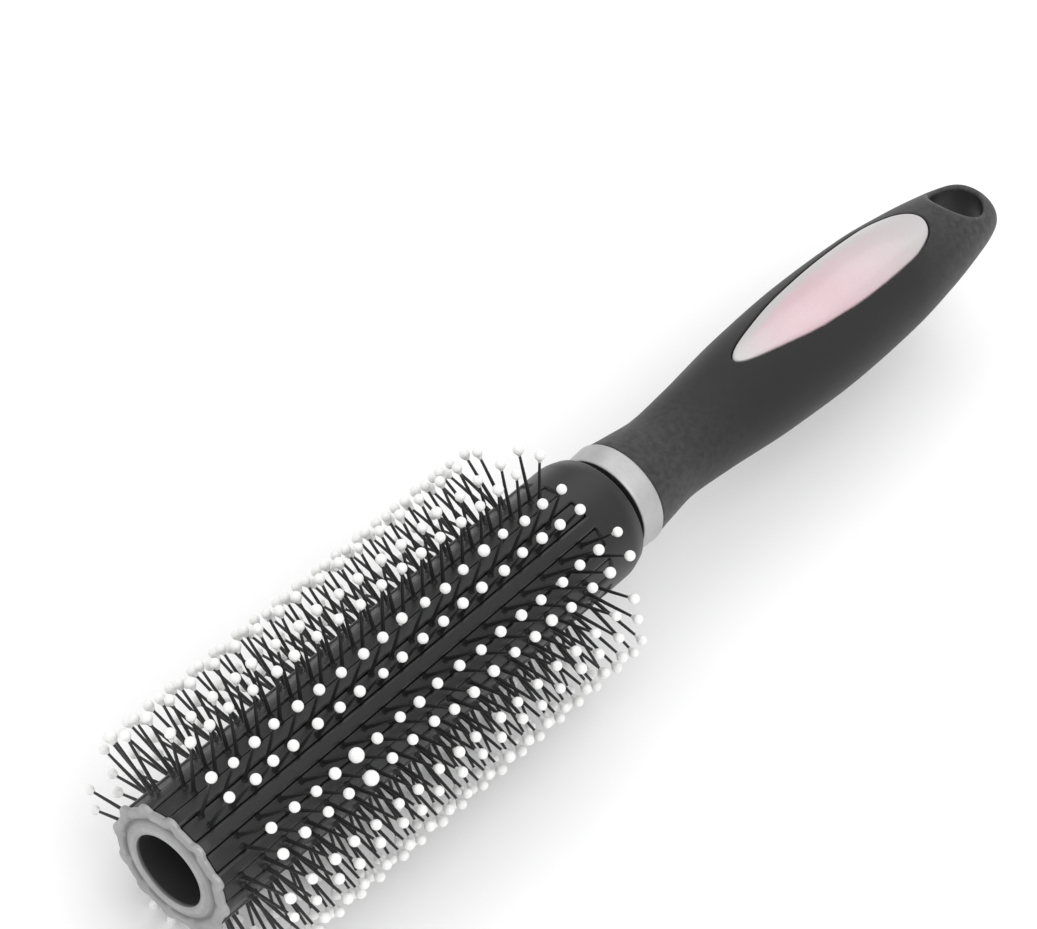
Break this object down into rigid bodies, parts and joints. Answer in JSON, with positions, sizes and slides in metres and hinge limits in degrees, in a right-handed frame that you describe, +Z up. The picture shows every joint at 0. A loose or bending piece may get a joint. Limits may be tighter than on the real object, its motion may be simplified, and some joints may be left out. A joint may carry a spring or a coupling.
{
  "type": "round barrel hair brush",
  "caption": "Round barrel hair brush: ridged black barrel with rows of ball-tipped pins, silver end cap and collar, soft-grip handle with a pearl inlay and a hanging hole.",
  "frame": {"origin": "midway along the brush, under its axis, on the surface that the lowest ball tips touch", "axes": "+X along the brush towards the handle's tail, +Z up through the ridge between two bristle strips; the handle's inlay faces up, turned 6.5 degrees towards +Y"},
  "size_m": [0.23, 0.0486, 0.0486],
  "materials": {
    "barrel_plastic": "satin moulded near-black plastic",
    "bristle_nylon": "smooth black nylon",
    "tip_white": "glossy white ball tips",
    "silver_plating": "satin silver plated plastic",
    "core_plastic": "plain black moulded plastic",
    "soft_grip": "soft-touch dark grey overmould",
    "pearl_inlay": "pearl pink, fine pearlescent sheen"
  },
  "bodies": {
    "root": {"barrel_body": "barrel_plastic", "end_cap": "silver_plating", "collar_ring": "silver_plating", "handle_core": "core_plastic", "handle_grip": "soft_grip", "handle_inlay": "pearl_inlay", "bristle_strip_01": "bristle_nylon", "bristle_strip_02": "bristle_nylon", "bristle_strip_03": "bristle_nylon", "bristle_strip_04": "bristle_nylon", "bristle_strip_05": "bristle_nylon", "bristle_strip_06": "bristle_nylon", "bristle_strip_07": "bristle_nylon", "bristle_strip_08": "bristle_nylon", "bristle_strip_09": "bristle_nylon", "bristle_strip_10": "bristle_nylon", "bristle_strip_11": "bristle_nylon", "bristle_strip_12": "bristle_nylon", "tip_beads_01": "tip_white", "tip_beads_02": "tip_white", "tip_beads_03": "tip_white", "tip_beads_04": "tip_white", "tip_beads_05": "tip_white", "tip_beads_06": "tip_white", "tip_beads_07": "tip_white", "tip_beads_08": "tip_white", "tip_beads_09": "tip_white", "tip_beads_10": "tip_white", "tip_beads_11": "tip_white", "tip_beads_12": "tip_white"}
  },
  "joints": []
}
